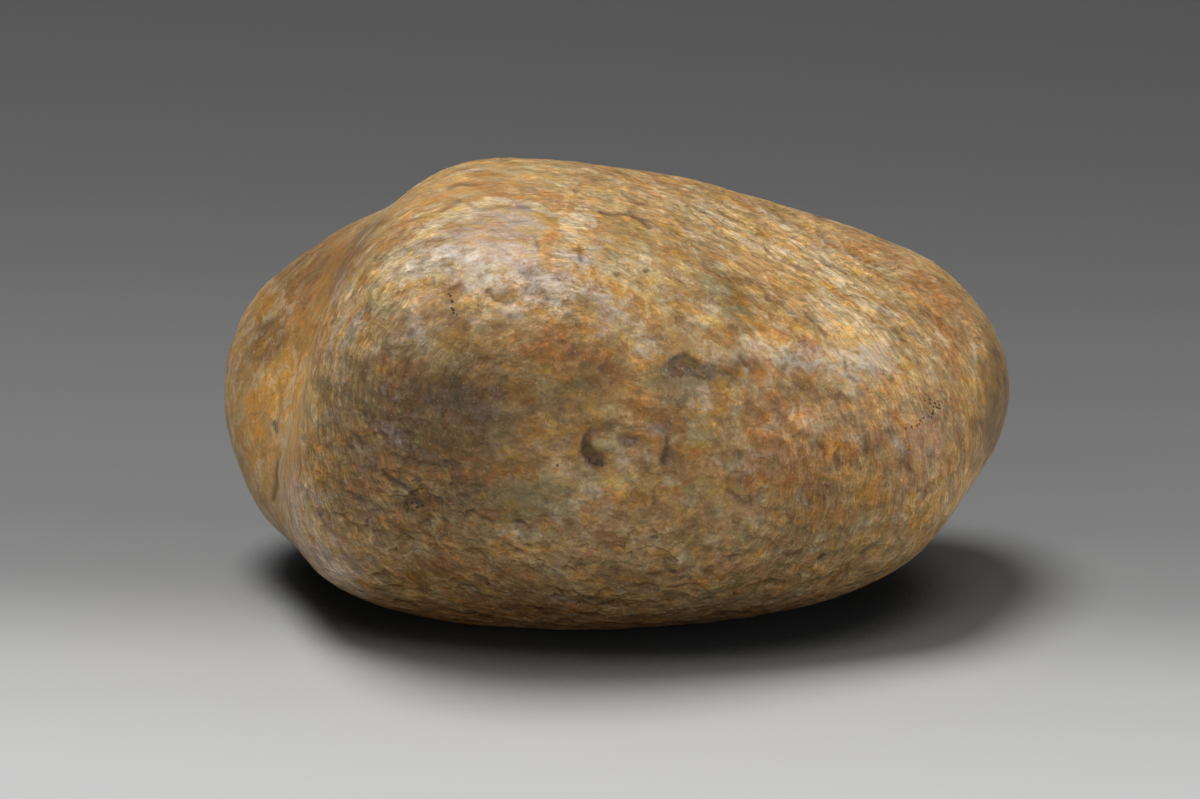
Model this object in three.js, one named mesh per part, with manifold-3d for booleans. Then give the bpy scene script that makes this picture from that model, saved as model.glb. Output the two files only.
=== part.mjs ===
// A hand pestle: one hard cobble, ground and pecked to shape, lying on its side.
//
// The stone reads as two bodies grown together. The grip body is nearer to the viewer (-Y), high
// at the left end (-X) and lower at the right. The back body behind it is lower and longer, so
// its two ends show past the grip body, with a soft waist between the two. Each body is an
// ellipsoid whose sides are worn down to broad flats, and a small true flat on the belly is the
// face that the stone rests on.
//
// Millimetres, +X right, +Y away from the viewer, +Z up. The origin is the middle of the
// stone's outline on the surface that it rests on.

import * as THREE from "three";
import { mergeVertices } from "three/addons/utils/BufferGeometryUtils.js";
import Module from "manifold-3d";

// The two bodies: full sizes before their sides are worn down, and where each one's middle lies
const GRIP_LENGTH = 160;
const GRIP_DEPTH = 97;
const GRIP_HEIGHT = 67;
const GRIP_CENTRE = [6, -5.5, 35];
const GRIP_RISE = 9; // degrees that the long axis rises towards the right end

const BACK_LENGTH = 153;
const BACK_DEPTH = 30;
const BACK_HEIGHT = 40;
const BACK_CENTRE = [-21.5, 17.5, 28];

// Worn flats. Azimuth 0 faces the viewer and 90 the right end, and elevation is above the
// horizon, in degrees. Reach is the distance of the flat from the heart of the stone.
const GRIP_FLATS = {
  upper_right: { azimuth: 49, elevation: 58, reach: 29 },
  crest: { azimuth: 84, elevation: 66, reach: 35 },
  face_left: { azimuth: -12, elevation: -18, reach: 29.5 },
  face_right: { azimuth: 23, elevation: 6, reach: 32.5 },
  left_side: { azimuth: -98, elevation: 14, reach: 39 },
  right_side: { azimuth: 84, elevation: 1, reach: 52.5 },
  lower_left: { azimuth: -76, elevation: -55, reach: 49 },
  lower_right: { azimuth: 83, elevation: -31, reach: 54.5 },
  rear: { azimuth: 183, elevation: 25, reach: 29 },
};
const BACK_FLATS = {
  upper_left: { azimuth: -73, elevation: 26, reach: 43 },
  lower_left: { azimuth: -107, elevation: -27, reach: 58 },
  lower_right: { azimuth: 91, elevation: -52, reach: 45.5 },
  rear: { azimuth: 160, elevation: 18, reach: 24 },
};

const HEART = [0, 0, 30]; // a point well inside both bodies, which every flat is measured from
const EDGE_SOFTNESS = 15; // how widely a worn flat rounds over into its neighbours
const WAIST_SOFTNESS = 16; // how widely the two bodies run into each other
const REST_CUT = 1.4; // depth of the true flat worn into the belly

const MESH_DETAIL = 15; // splits along each edge of the icosahedron that the surface grows from
const SEARCH_STEPS = 40; // halvings in the search for the surface along each ray

const STONE_COLOUR = 0xa5845a;
const STONE_ROUGHNESS = 0.45;

const heart = new THREE.Vector3(...HEART);

// A soft greater-of-two: equal to the larger value except where the two are within `softness`.
function softMax(a, b, softness) {
  const mix = THREE.MathUtils.clamp(0.5 + (0.5 * (a - b)) / softness, 0, 1);
  return a * mix + b * (1 - mix) + softness * mix * (1 - mix);
}

function softMin(a, b, softness) {
  return -softMax(-a, -b, softness);
}

function directionOf({ azimuth, elevation }) {
  const around = THREE.MathUtils.degToRad(azimuth);
  const above = THREE.MathUtils.degToRad(elevation);
  return new THREE.Vector3(
    Math.sin(around) * Math.cos(above),
    -Math.cos(around) * Math.cos(above),
    Math.sin(above),
  );
}

// A worn body as a function that tells how far a point is outside it, roughly in millimetres.
function wornBody({ length, depth, height, centre, rise, flats }) {
  const half = new THREE.Vector3(length, depth, height).divideScalar(2);
  const middle = new THREE.Vector3(...centre);
  const level = new THREE.Quaternion().setFromAxisAngle(
    new THREE.Vector3(0, 1, 0),
    THREE.MathUtils.degToRad(rise),
  );
  const planes = Object.values(flats).map((flat) => ({
    normal: directionOf(flat),
    reach: flat.reach,
  }));
  return (point) => {
    const local = point.clone().sub(middle).applyQuaternion(level);
    const share = local.clone().divide(half);
    const slope = share.clone().divide(half).length();
    let outside = (share.length() * (share.length() - 1)) / Math.max(slope, 1e-9);
    const fromHeart = point.clone().sub(heart);
    for (const { normal, reach } of planes)
      outside = softMax(outside, fromHeart.dot(normal) - reach, EDGE_SOFTNESS);
    return outside;
  };
}

const gripBody = wornBody({
  length: GRIP_LENGTH,
  depth: GRIP_DEPTH,
  height: GRIP_HEIGHT,
  centre: GRIP_CENTRE,
  rise: GRIP_RISE,
  flats: GRIP_FLATS,
});
const backBody = wornBody({
  length: BACK_LENGTH,
  depth: BACK_DEPTH,
  height: BACK_HEIGHT,
  centre: BACK_CENTRE,
  rise: 0,
  flats: BACK_FLATS,
});

function outsideStone(point) {
  return softMin(gripBody(point), backBody(point), WAIST_SOFTNESS);
}

// Walks out from the heart along a ray and halves the gap until it stands on the surface.
function surfaceAlong(direction) {
  let inside = 0;
  let outside = Math.max(GRIP_LENGTH, BACK_LENGTH);
  for (let step = 0; step < SEARCH_STEPS; step++) {
    const middle = (inside + outside) / 2;
    const point = direction.clone().multiplyScalar(middle).add(heart);
    if (outsideStone(point) < 0) inside = middle;
    else outside = middle;
  }
  return direction.clone().multiplyScalar(inside).add(heart);
}

function stoneSurface() {
  const ball = new THREE.IcosahedronGeometry(1, MESH_DETAIL);
  ball.deleteAttribute("normal");
  ball.deleteAttribute("uv");
  const geometry = mergeVertices(ball, 1e-5);
  const spread = new THREE.Vector3(GRIP_LENGTH, GRIP_DEPTH, GRIP_HEIGHT);
  const position = geometry.getAttribute("position");
  for (let i = 0; i < position.count; i++) {
    const direction = new THREE.Vector3()
      .fromBufferAttribute(position, i)
      .multiply(spread)
      .normalize();
    const point = surfaceAlong(direction);
    position.setXYZ(i, point.x, point.y, point.z);
  }
  return geometry;
}

const wasm = await Module();
wasm.setup();

function solidOf(geometry) {
  return new wasm.Manifold(
    new wasm.Mesh({
      numProp: 3,
      vertProperties: new Float32Array(geometry.getAttribute("position").array),
      triVerts: new Uint32Array(geometry.index.array),
    }),
  );
}

function geometryOf(solid) {
  const mesh = solid.getMesh();
  const geometry = new THREE.BufferGeometry();
  geometry.setAttribute("position", new THREE.BufferAttribute(mesh.vertProperties, 3));
  geometry.setIndex(new THREE.BufferAttribute(mesh.triVerts, 1));
  geometry.computeVertexNormals();
  return geometry;
}

// Grinds the lowest REST_CUT off the belly, which leaves the flat that the stone stands on.
function grindRestFace(geometry) {
  geometry.computeBoundingBox();
  const { min, max } = geometry.boundingBox;
  const block = new THREE.BoxGeometry(
    2 * (max.x - min.x),
    2 * (max.y - min.y),
    2 * REST_CUT,
  ).translate((min.x + max.x) / 2, (min.y + max.y) / 2, min.z);
  block.deleteAttribute("normal");
  block.deleteAttribute("uv");
  return geometryOf(solidOf(geometry).subtract(solidOf(mergeVertices(block))));
}

function standOnOrigin(geometry) {
  geometry.computeBoundingBox();
  const { min, max } = geometry.boundingBox;
  return geometry.translate(-(min.x + max.x) / 2, -(min.y + max.y) / 2, -min.z);
}

const pestleStone = new THREE.Mesh(
  standOnOrigin(grindRestFace(stoneSurface())),
  new THREE.MeshStandardMaterial({
    color: STONE_COLOUR,
    roughness: STONE_ROUGHNESS,
    metalness: 0,
  }),
);
pestleStone.name = "pestle_stone";

const pestle = new THREE.Group();
pestle.add(pestleStone);

export default pestle;
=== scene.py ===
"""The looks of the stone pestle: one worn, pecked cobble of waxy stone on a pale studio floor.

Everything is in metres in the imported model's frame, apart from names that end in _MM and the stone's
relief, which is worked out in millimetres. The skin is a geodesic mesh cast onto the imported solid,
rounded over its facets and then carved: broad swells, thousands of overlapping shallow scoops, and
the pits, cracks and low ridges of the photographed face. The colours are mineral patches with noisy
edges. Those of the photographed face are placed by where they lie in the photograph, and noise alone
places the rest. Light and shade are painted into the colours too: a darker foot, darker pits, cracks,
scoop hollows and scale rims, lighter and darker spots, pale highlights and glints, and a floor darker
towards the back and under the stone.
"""

import math
from typing import NamedTuple

import bmesh
import bpy
import numpy as np
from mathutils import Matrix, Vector
from mathutils.bvhtree import BVHTree
from mathutils.kdtree import KDTree


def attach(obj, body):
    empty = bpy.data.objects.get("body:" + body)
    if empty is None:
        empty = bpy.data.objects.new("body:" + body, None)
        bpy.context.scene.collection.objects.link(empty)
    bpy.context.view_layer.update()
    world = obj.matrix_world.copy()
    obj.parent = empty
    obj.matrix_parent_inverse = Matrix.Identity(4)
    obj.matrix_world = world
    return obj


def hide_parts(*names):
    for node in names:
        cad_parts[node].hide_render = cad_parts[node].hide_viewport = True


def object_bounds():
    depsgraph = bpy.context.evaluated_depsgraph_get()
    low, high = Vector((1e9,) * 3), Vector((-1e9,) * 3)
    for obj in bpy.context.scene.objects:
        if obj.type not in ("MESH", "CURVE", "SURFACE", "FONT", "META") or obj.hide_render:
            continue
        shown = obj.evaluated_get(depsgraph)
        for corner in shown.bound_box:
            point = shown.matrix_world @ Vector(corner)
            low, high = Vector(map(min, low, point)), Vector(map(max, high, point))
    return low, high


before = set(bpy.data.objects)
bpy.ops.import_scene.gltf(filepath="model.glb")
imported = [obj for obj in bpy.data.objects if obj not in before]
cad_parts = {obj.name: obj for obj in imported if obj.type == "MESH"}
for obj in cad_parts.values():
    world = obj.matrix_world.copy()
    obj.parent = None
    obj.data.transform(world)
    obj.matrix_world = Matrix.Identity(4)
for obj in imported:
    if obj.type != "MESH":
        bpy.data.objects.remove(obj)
CAD_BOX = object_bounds()
NODE = "pestle_stone"
MM = 0.001

# The photograph's frame, and the camera that took it

PHOTO_WIDTH = 1200
PHOTO_HEIGHT = 799
PHOTO_CENTRE = np.array([PHOTO_WIDTH / 2, PHOTO_HEIGHT / 2])
LENS_MM = 100
SENSOR_MM = 36
FOCAL_PIXELS = PHOTO_WIDTH * LENS_MM / SENSOR_MM
VIEW_DISTANCE = 0.450
VIEW_ELEVATION = math.radians(17)
AIM_POINT = Vector((-0.00182, -0.00022, 0.02815))
RIGHT = Vector((1, 0, 0))
UP = Vector((0, math.sin(VIEW_ELEVATION), math.cos(VIEW_ELEVATION)))
FORWARD = Vector((0, math.cos(VIEW_ELEVATION), -math.sin(VIEW_ELEVATION)))
CAMERA_PLACE = AIM_POINT - VIEW_DISTANCE * FORWARD
PIXELS_PER_MM = FOCAL_PIXELS * MM / VIEW_DISTANCE

# The skin's mesh

EDGE_PARTS = 99
MERGE_DECIMALS = 6
FACET_ROUNDING = 90
EDGE_WOBBLES_MM = ((6.0, 0.55), (2.2, 0.28))
SEEN_FACING = (-0.05, 0.12)
SEED = 7


def geodesic_sphere(parts):
    """Unit directions and triangles of an icosahedron with each edge cut into that many parts."""
    ball = bmesh.new()
    bmesh.ops.create_icosphere(ball, subdivisions=1, radius=1)
    faces = [[corner.co.copy() for corner in face.verts] for face in ball.faces]
    ball.free()
    steps = [(i, j) for i in range(parts + 1) for j in range(parts + 1 - i)]
    order = {step: n for n, step in enumerate(steps)}
    weights = np.array([(parts - i - j, i, j) for i, j in steps]) / parts
    upright = [(order[i, j], order[i + 1, j], order[i, j + 1]) for i, j in steps if i + j < parts]
    hanging = [
        (order[i + 1, j], order[i + 1, j + 1], order[i, j + 1]) for i, j in steps if i + j < parts - 1
    ]
    grid = np.array(upright + hanging)
    points = np.concatenate([weights @ np.array(corners) for corners in faces])
    triangles = np.concatenate([grid + n * len(steps) for n in range(len(faces))])
    rounded = points.round(MERGE_DECIMALS)
    _, first, merged = np.unique(rounded, axis=0, return_index=True, return_inverse=True)
    points = points[first]
    points /= np.linalg.norm(points, axis=1)[:, None]
    return points, merged.reshape(-1)[triangles]


def edges_of(triangles):
    """Both ends of each edge, listed once in each direction."""
    pairs = np.concatenate([triangles[:, [0, 1]], triangles[:, [1, 2]], triangles[:, [2, 0]]])
    return np.unique(np.concatenate([pairs, pairs[:, ::-1]]), axis=0)


def blur(values, edges, rounds):
    """Each value moved halfway to its neighbours' mean, that many times."""
    count = len(values)
    neighbours = np.bincount(edges[:, 0], minlength=count)
    for _ in range(rounds):
        mean = np.bincount(edges[:, 0], values[edges[:, 1]], count) / neighbours
        values = (values + mean) / 2
    return values


def reach_onto(solid, heart, directions):
    """How far the solid's surface lies from its heart along each direction."""
    tree = BVHTree.FromObject(solid, bpy.context.evaluated_depsgraph_get())
    return np.array([tree.ray_cast(heart, Vector(d))[3] for d in directions])


def normals_and_areas(points, triangles):
    """Each vertex's unit normal, and its share of the surface."""
    corners = points[triangles]
    cross = np.cross(corners[:, 1] - corners[:, 0], corners[:, 2] - corners[:, 0])
    size = np.linalg.norm(cross, axis=1) / 6
    count = len(points)
    flat = triangles.reshape(-1)
    normals = np.stack([np.bincount(flat, np.repeat(cross[:, k], 3), count) for k in range(3)], axis=1)
    normals /= np.linalg.norm(normals, axis=1)[:, None]
    return normals, np.bincount(flat, np.repeat(size, 3), count)


def smooth_step(low, high, value):
    """0 below low and 1 above high, with a soft ramp between them."""
    t = np.clip((value - low) / (high - low), 0, 1)
    return t * t * (3 - 2 * t)


class Skin:
    """The stone's skin in millimetres, and where each of its vertices lies in the photograph."""

    def __init__(self, solid):
        low, high = CAD_BOX
        heart = (low + high) / 2
        directions, self.triangles = geodesic_sphere(EDGE_PARTS)
        self.edges = edges_of(self.triangles)
        reach = reach_onto(solid, heart, directions)
        rounded = blur(reach, self.edges, FACET_ROUNDING)
        rounded += blur(reach - rounded, self.edges, FACET_ROUNDING)
        points = np.array(heart) + directions * rounded[:, None]
        self.points = points / MM
        self.normals, self.areas = normals_and_areas(self.points, self.triangles)
        sight = points - np.array(CAMERA_PLACE)
        depth = sight @ np.array(FORWARD)
        side = sight @ np.array(RIGHT) / depth
        rise = sight @ np.array(UP) / depth
        self.photo = PHOTO_CENTRE + FOCAL_PIXELS * np.stack([side, -rise], axis=1)
        facing = -(self.normals * sight).sum(axis=1) / np.linalg.norm(sight, axis=1)
        self.seen = smooth_step(*SEEN_FACING, facing)

    def wobble(self, random):
        """Shifts the places a little, so that what is drawn at them gets uneven edges."""
        for wavelength, shift in EDGE_WOBBLES_MM:
            for axis in (0, 1):
                self.photo[:, axis] += shift * PIXELS_PER_MM * swell(self.points, wavelength, random)


class Spot(NamedTuple):
    """An ellipse on the photographed side: its middle in photo pixels, its half-lengths in mm, and its
    turn in degrees, clockwise as the photograph is seen."""

    share: float
    x: float
    y: float
    long: float
    wide: float
    turn: float = 0
    soft: float = 0.5

    def over(self, skin):
        offset = (skin.photo - np.array([self.x, self.y])) / PIXELS_PER_MM
        angle = math.radians(self.turn)
        along = offset @ np.array([math.cos(angle), math.sin(angle)]) / self.long
        across = offset @ np.array([-math.sin(angle), math.cos(angle)]) / self.wide
        inside = smooth_step(1 + self.soft, 1 - self.soft, np.hypot(along, across))
        return self.share * (skin.seen * inside)


class Line(NamedTuple):
    """A stroke on the photographed side, through places in photo pixels, with half its width in mm."""

    share: float
    path: list
    wide: float
    soft: float = 0.5

    def over(self, skin):
        distance = np.full(len(skin.points), np.inf)
        for start, end in zip(self.path[:-1], self.path[1:]):
            start = np.array(start, float)
            run = np.array(end, float) - start
            part = np.clip((skin.photo - start) @ run / (run @ run), 0, 1)
            gap = np.linalg.norm(skin.photo - start - part[:, None] * run, axis=1)
            distance = np.minimum(distance, gap / PIXELS_PER_MM)
        inside = smooth_step(1 + self.soft, 1 - self.soft, distance / self.wide)
        return self.share * (skin.seen * inside)


class Foot(NamedTuple):
    """The foot of the stone, all round it, fading out upwards to a height in mm."""

    share: float
    top: float

    def over(self, skin):
        return self.share * smooth_step(self.top, 0, skin.points[:, 2])


def spots(*rows):
    """A spot for each row of share, x, y, half-length, half-width, turn and softness."""
    return [Spot(*row) for row in rows]


def lines(*rows):
    """A line for each row of share, places, half-width and softness."""
    return [Line(*row) for row in rows]


def added(places, skin):
    """The sum of what the places give at each vertex."""
    return sum(place.over(skin) for place in places)


def strongest(places, skin):
    """The most that any of the places gives at each vertex."""
    return np.max([place.over(skin) for place in places], axis=0)


# The relief

SWELL_WAVES = 28
SWELL_SPREAD = (0.6, 1.5)
BROAD_SWELL_MM = 17
BROAD_SWELL_HEIGHT_MM = 0.10
FINE_SWELL_MM = 6.5
FINE_SWELL_HEIGHT_MM = 0.05
FULL_RELIEF_HEIGHT_MM = 1.5

SCOOP_COVER = 2.6
SCOOP_LENGTH_MM = (0.75, 2.1)
SCOOP_LENGTH_POWER = 1.8
SCOOP_SLENDERNESS = (0.42, 0.75)
SCOOP_DEPTH_SHARE = (0.08, 0.22)
SCOOP_TURN = math.radians(28)
SCOOP_SKEW = 0.75
FACE_MIDDLE_MM = 12
FACE_MIDDLE_PULL = np.array([2, 0, 0])
STEEP_SIDE = np.array([0.35, 0, 0.94])
HOLLOW_ROUNDING = 14
HOLLOW_DEPTH_MM = 0.06

# How strongly the stone is pecked: least on the smooth flanks, most at the lower left

PLAIN_ROUGHNESS = 0.75
SMOOTH_LOSS = 0.85
CALM_LOSS = 0.6
KEEN_GAIN = 0.55
SMOOTH_FLANKS = spots(
    (1, 262, 390, 24, 6, 97, 0.25), (1, 340, 260, 9, 3.2, 125, 0.3), (1, 1000, 385, 14, 2, 88, 0.4),
)
CALM_PLACES = spots(
    (1, 500, 235, 9, 5, -5), (1, 470, 190, 14, 3, -12), (0.7, 700, 350, 13, 9, 10),
    (0.8, 850, 350, 7, 6, 40), (0.5, 510, 400, 10, 7),
)
KEEN_PLACES = spots(
    (1, 400, 500, 13, 8, 35), (0.7, 600, 570, 32, 6), (0.6, 800, 255, 20, 5, 25),
)

# Pits of the photographed face, as depths in mm, and the depths over which their painted shade comes in

WALL = [(611, 428), (600, 427), (592, 431), (586, 438), (585, 449), (588, 460), (596, 466)]
SLOT = [(669, 441), (667, 452), (664, 464)]
PITS = lines(
    (0.4, WALL, 0.7, 0.7), (0.55, SLOT, 0.55, 0.8),
) + spots(
    (0.45, 595, 460, 1.8, 1.2, 40, 0.6), (0.3, 606, 446, 3.2, 2.6), (0.55, 632, 440, 1.5, 1.2, 0, 0.8),
    (0.2, 662, 432, 2.2, 1.4, -20, 0.8), (0.22, 504, 297, 2.4, 0.9, 15, 0.8),
    (0.2, 538, 295, 2, 0.8, 10, 0.8), (0.4, 826, 563, 0.9, 0.6, -40, 0.8),
    (0.16, 396, 494, 2, 1.1, 30, 0.8), (0.12, 686, 370, 3, 1.9, 5, 0.8),
)
PIT_SHADE_MM = (0.22, 0.85)

# Low ridges of the photographed face that catch the light, as heights in mm

LUMPS = lines(
    (0.22, [(579, 432), (577, 452), (586, 472)], 0.9, 0.8),
    (0.2, [(480, 296), (500, 308), (520, 313)], 0.6, 0.8),
) + spots(
    (0.45, 608, 444, 1.6, 1.3, -20, 0.7), (0.22, 790, 352, 5.5, 1.5, 8, 0.7),
    (0.14, 808, 424, 2.2, 1.3, 10, 0.7), (0.15, 565, 292, 4.5, 1.2, 15, 0.7),
    (0.15, 480, 282, 5, 1.3, 12, 0.7), (0.1, 652, 450, 2, 0.9, 90, 0.7),
)

# Crescents and undercut edges of the photographed face: how deeply each cuts in, and its line

CRACK_DEPTH_MM = 0.22
CRACK_HALF_WIDTH_MM = 0.27
CRACK_SOFTNESS = 0.8
CRACKS = [
    (1, [(384, 475), (392, 481), (402, 487), (410, 492), (415, 499)]),
    (0.7, [(394, 472), (402, 472), (411, 476), (420, 481)]),
    (0.6, [(382, 449), (392, 455), (403, 460), (411, 467)]), (0.9, [(349, 494), (357, 499), (364, 505)]),
    (1, [(404, 503), (413, 502), (422, 506)]), (0.6, [(370, 513), (380, 511), (392, 514)]),
    (0.6, [(339, 478), (341, 488), (346, 494)]), (0.7, [(346, 446), (354, 451)]),
    (0.6, [(352, 436), (358, 441), (361, 448)]), (0.8, [(464, 520), (467, 514), (474, 511)]),
    (0.8, [(441, 519), (446, 524)]), (0.6, [(418, 527), (424, 523), (428, 522)]),
    (0.5, [(401, 533), (408, 538), (413, 542)]), (0.6, [(481, 518), (488, 521), (493, 523)]),
    (0.7, [(461, 497), (468, 499)]), (0.5, [(320, 518), (326, 527), (334, 534)]),
    (0.8, [(515, 522), (523, 524)]), (0.5, [(487, 512), (498, 513)]), (0.5, [(447, 447), (455, 443)]),
    (0.5, [(462, 461), (470, 456)]), (0.4, [(478, 447), (490, 444), (500, 447)]),
    (0.5, [(495, 437), (505, 434), (515, 436)]),
    (0.7, [(728, 490), (736, 497), (746, 503), (751, 501), (750, 496)]),
    (0.5, [(649, 577), (663, 573), (680, 575), (695, 568)]), (0.6, [(665, 562), (666, 569), (675, 574)]),
    (1, [(785, 555), (793, 556), (800, 553)]), (1, [(820, 562), (824, 557)]),
    (0.8, [(862, 557), (869, 550), (879, 543)]), (0.6, [(661, 484), (653, 491), (655, 504)]),
    (0.6, [(840, 448), (837, 459), (839, 469)]), (0.6, [(908, 465), (914, 473)]),
    (0.4, [(772, 510), (781, 508), (790, 509)]), (0.4, [(818, 443), (823, 449), (826, 455)]),
    (0.4, [(842, 529), (850, 537)]), (0.5, [(725, 560), (738, 556)]), (0.4, [(700, 552), (712, 550)]),
    (0.5, [(670, 362), (677, 357), (684, 354), (691, 359), (698, 363)]),
    (0.6, [(441, 210), (449, 206), (460, 200)]), (0.6, [(448, 187), (462, 183), (476, 183)]),
    (0.7, [(600, 210), (614, 213), (628, 213), (641, 219), (650, 227)]),
    (0.6, [(623, 192), (632, 197), (639, 203), (648, 202)]),
    (0.5, [(470, 204), (480, 209), (500, 205), (530, 207)]), (0.6, [(536, 236), (539, 246)]),
    (0.6, [(519, 260), (522, 270), (529, 274)]), (0.7, [(580, 245), (581, 262)]),
    (0.7, [(487, 291), (494, 299), (506, 304), (516, 300)]), (0.6, [(443, 261), (450, 266), (453, 272)]),
    (0.9, [(616, 273), (619, 273)]), (0.9, [(646, 269), (648, 269)]),
    (0.6, [(583, 444), (585, 437), (591, 431)]), (0.7, [(845, 362), (847, 374), (856, 382)]),
    (0.7, [(808, 315), (818, 323), (826, 334)]), (0.7, [(895, 327), (904, 338)]),
    (0.6, [(740, 355), (746, 365), (754, 373)]), (0.5, [(767, 296), (772, 300)]),
    (0.5, [(816, 213), (826, 219)]), (0.6, [(587, 463), (593, 468), (601, 467)]),
    (0.8, [(276, 462), (274, 474), (275, 486), (272, 500)]),
]


def swell(points, wavelength, random):
    """Smooth noise of about that wavelength, mostly from -1 to 1: a sum of waves in many directions."""
    waves = random.normal(size=(SWELL_WAVES, 3))
    waves /= np.linalg.norm(waves, axis=1)[:, None]
    waves *= 2 * math.pi / wavelength * random.uniform(*SWELL_SPREAD, (SWELL_WAVES, 1))
    phase = random.uniform(0, 2 * math.pi, SWELL_WAVES)
    return np.sin(points @ waves.T + phase).sum(axis=1) / math.sqrt(SWELL_WAVES)


def unit(vectors):
    """The vectors at length 1."""
    return vectors / np.maximum(np.linalg.norm(vectors, axis=-1, keepdims=True), 1e-9)


def scoop_frames(skin, chosen, random):
    """The long direction and the steep side's direction of each scoop. The long one runs round the
    stone's front and back, as its wear does, give or take a random turn."""
    normals = skin.normals[chosen]
    out = skin.points[chosen] - skin.points.mean(axis=0)
    out[:, 1] = 0
    round_way = np.cross([0, 1, 0], unit(out))
    middle = np.exp(-((np.linalg.norm(out, axis=1) / FACE_MIDDLE_MM) ** 2))
    long_way = round_way + middle[:, None] * FACE_MIDDLE_PULL
    long_way = unit(long_way - (long_way * normals).sum(axis=1)[:, None] * normals)
    steep_way = np.cross(normals, long_way)
    turn = random.normal(0, SCOOP_TURN, len(chosen))[:, None]
    turned = np.cos(turn) * long_way + np.sin(turn) * steep_way
    steep_way = np.cross(normals, turned)
    steep_way *= np.sign(steep_way @ STEEP_SIDE)[:, None]
    return turned, steep_way


def carve_scoops(skin, rough, random):
    """How deep the overlapping scoops cut at each vertex, and a tint that each scoop has of its own."""
    shortest, longest = SCOOP_LENGTH_MM
    mean_area = math.pi * ((shortest + longest) / 2) ** 2 * sum(SCOOP_SLENDERNESS) / 2
    count = int(SCOOP_COVER * skin.areas.sum() / mean_area)
    chosen = random.choice(len(skin.points), count, p=skin.areas / skin.areas.sum())
    longs, steeps = scoop_frames(skin, chosen, random)
    spread = random.uniform(0, 1, count) ** SCOOP_LENGTH_POWER
    length = shortest + spread * (longest - shortest)
    width = length * random.uniform(*SCOOP_SLENDERNESS, count)
    deep = width * random.uniform(*SCOOP_DEPTH_SHARE, count) * rough[chosen]
    shade = random.uniform(-1, 1, count)
    tree = KDTree(len(skin.points))
    for n, point in enumerate(skin.points):
        tree.insert(point, n)
    tree.balance()
    depth = np.zeros(len(skin.points))
    tint = np.zeros(len(skin.points))
    for n, centre in enumerate(skin.points[chosen]):
        near = np.array([found[1] for found in tree.find_range(centre, length[n])])
        offset = skin.points[near] - centre
        along = offset @ longs[n] / length[n]
        across = offset @ steeps[n] / width[n]
        bowl = np.clip(1 - along ** 2 - across ** 2, 0, None) * (1 + SCOOP_SKEW * across)
        cut = deep[n] * bowl
        deeper = cut > depth[near]
        depth[near[deeper]] = cut[deeper]
        tint[near[deeper]] = shade[n]
    return depth, tint


def roughness_of(skin):
    """How strongly each place is pecked."""
    smooth = 1 - SMOOTH_LOSS * strongest(SMOOTH_FLANKS, skin)
    calm = 1 - CALM_LOSS * strongest(CALM_PLACES, skin)
    return smooth * calm * (PLAIN_ROUGHNESS + KEEN_GAIN * strongest(KEEN_PLACES, skin))


def cracks_of(skin):
    """How deeply the crescents and undercut edges cut in, from 0 to 1."""
    cracks = [Line(share, path, CRACK_HALF_WIDTH_MM, CRACK_SOFTNESS) for share, path in CRACKS]
    return np.clip(added(cracks, skin), 0, 1)


# How much more of each mineral than usual lies at places of the photographed face

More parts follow.
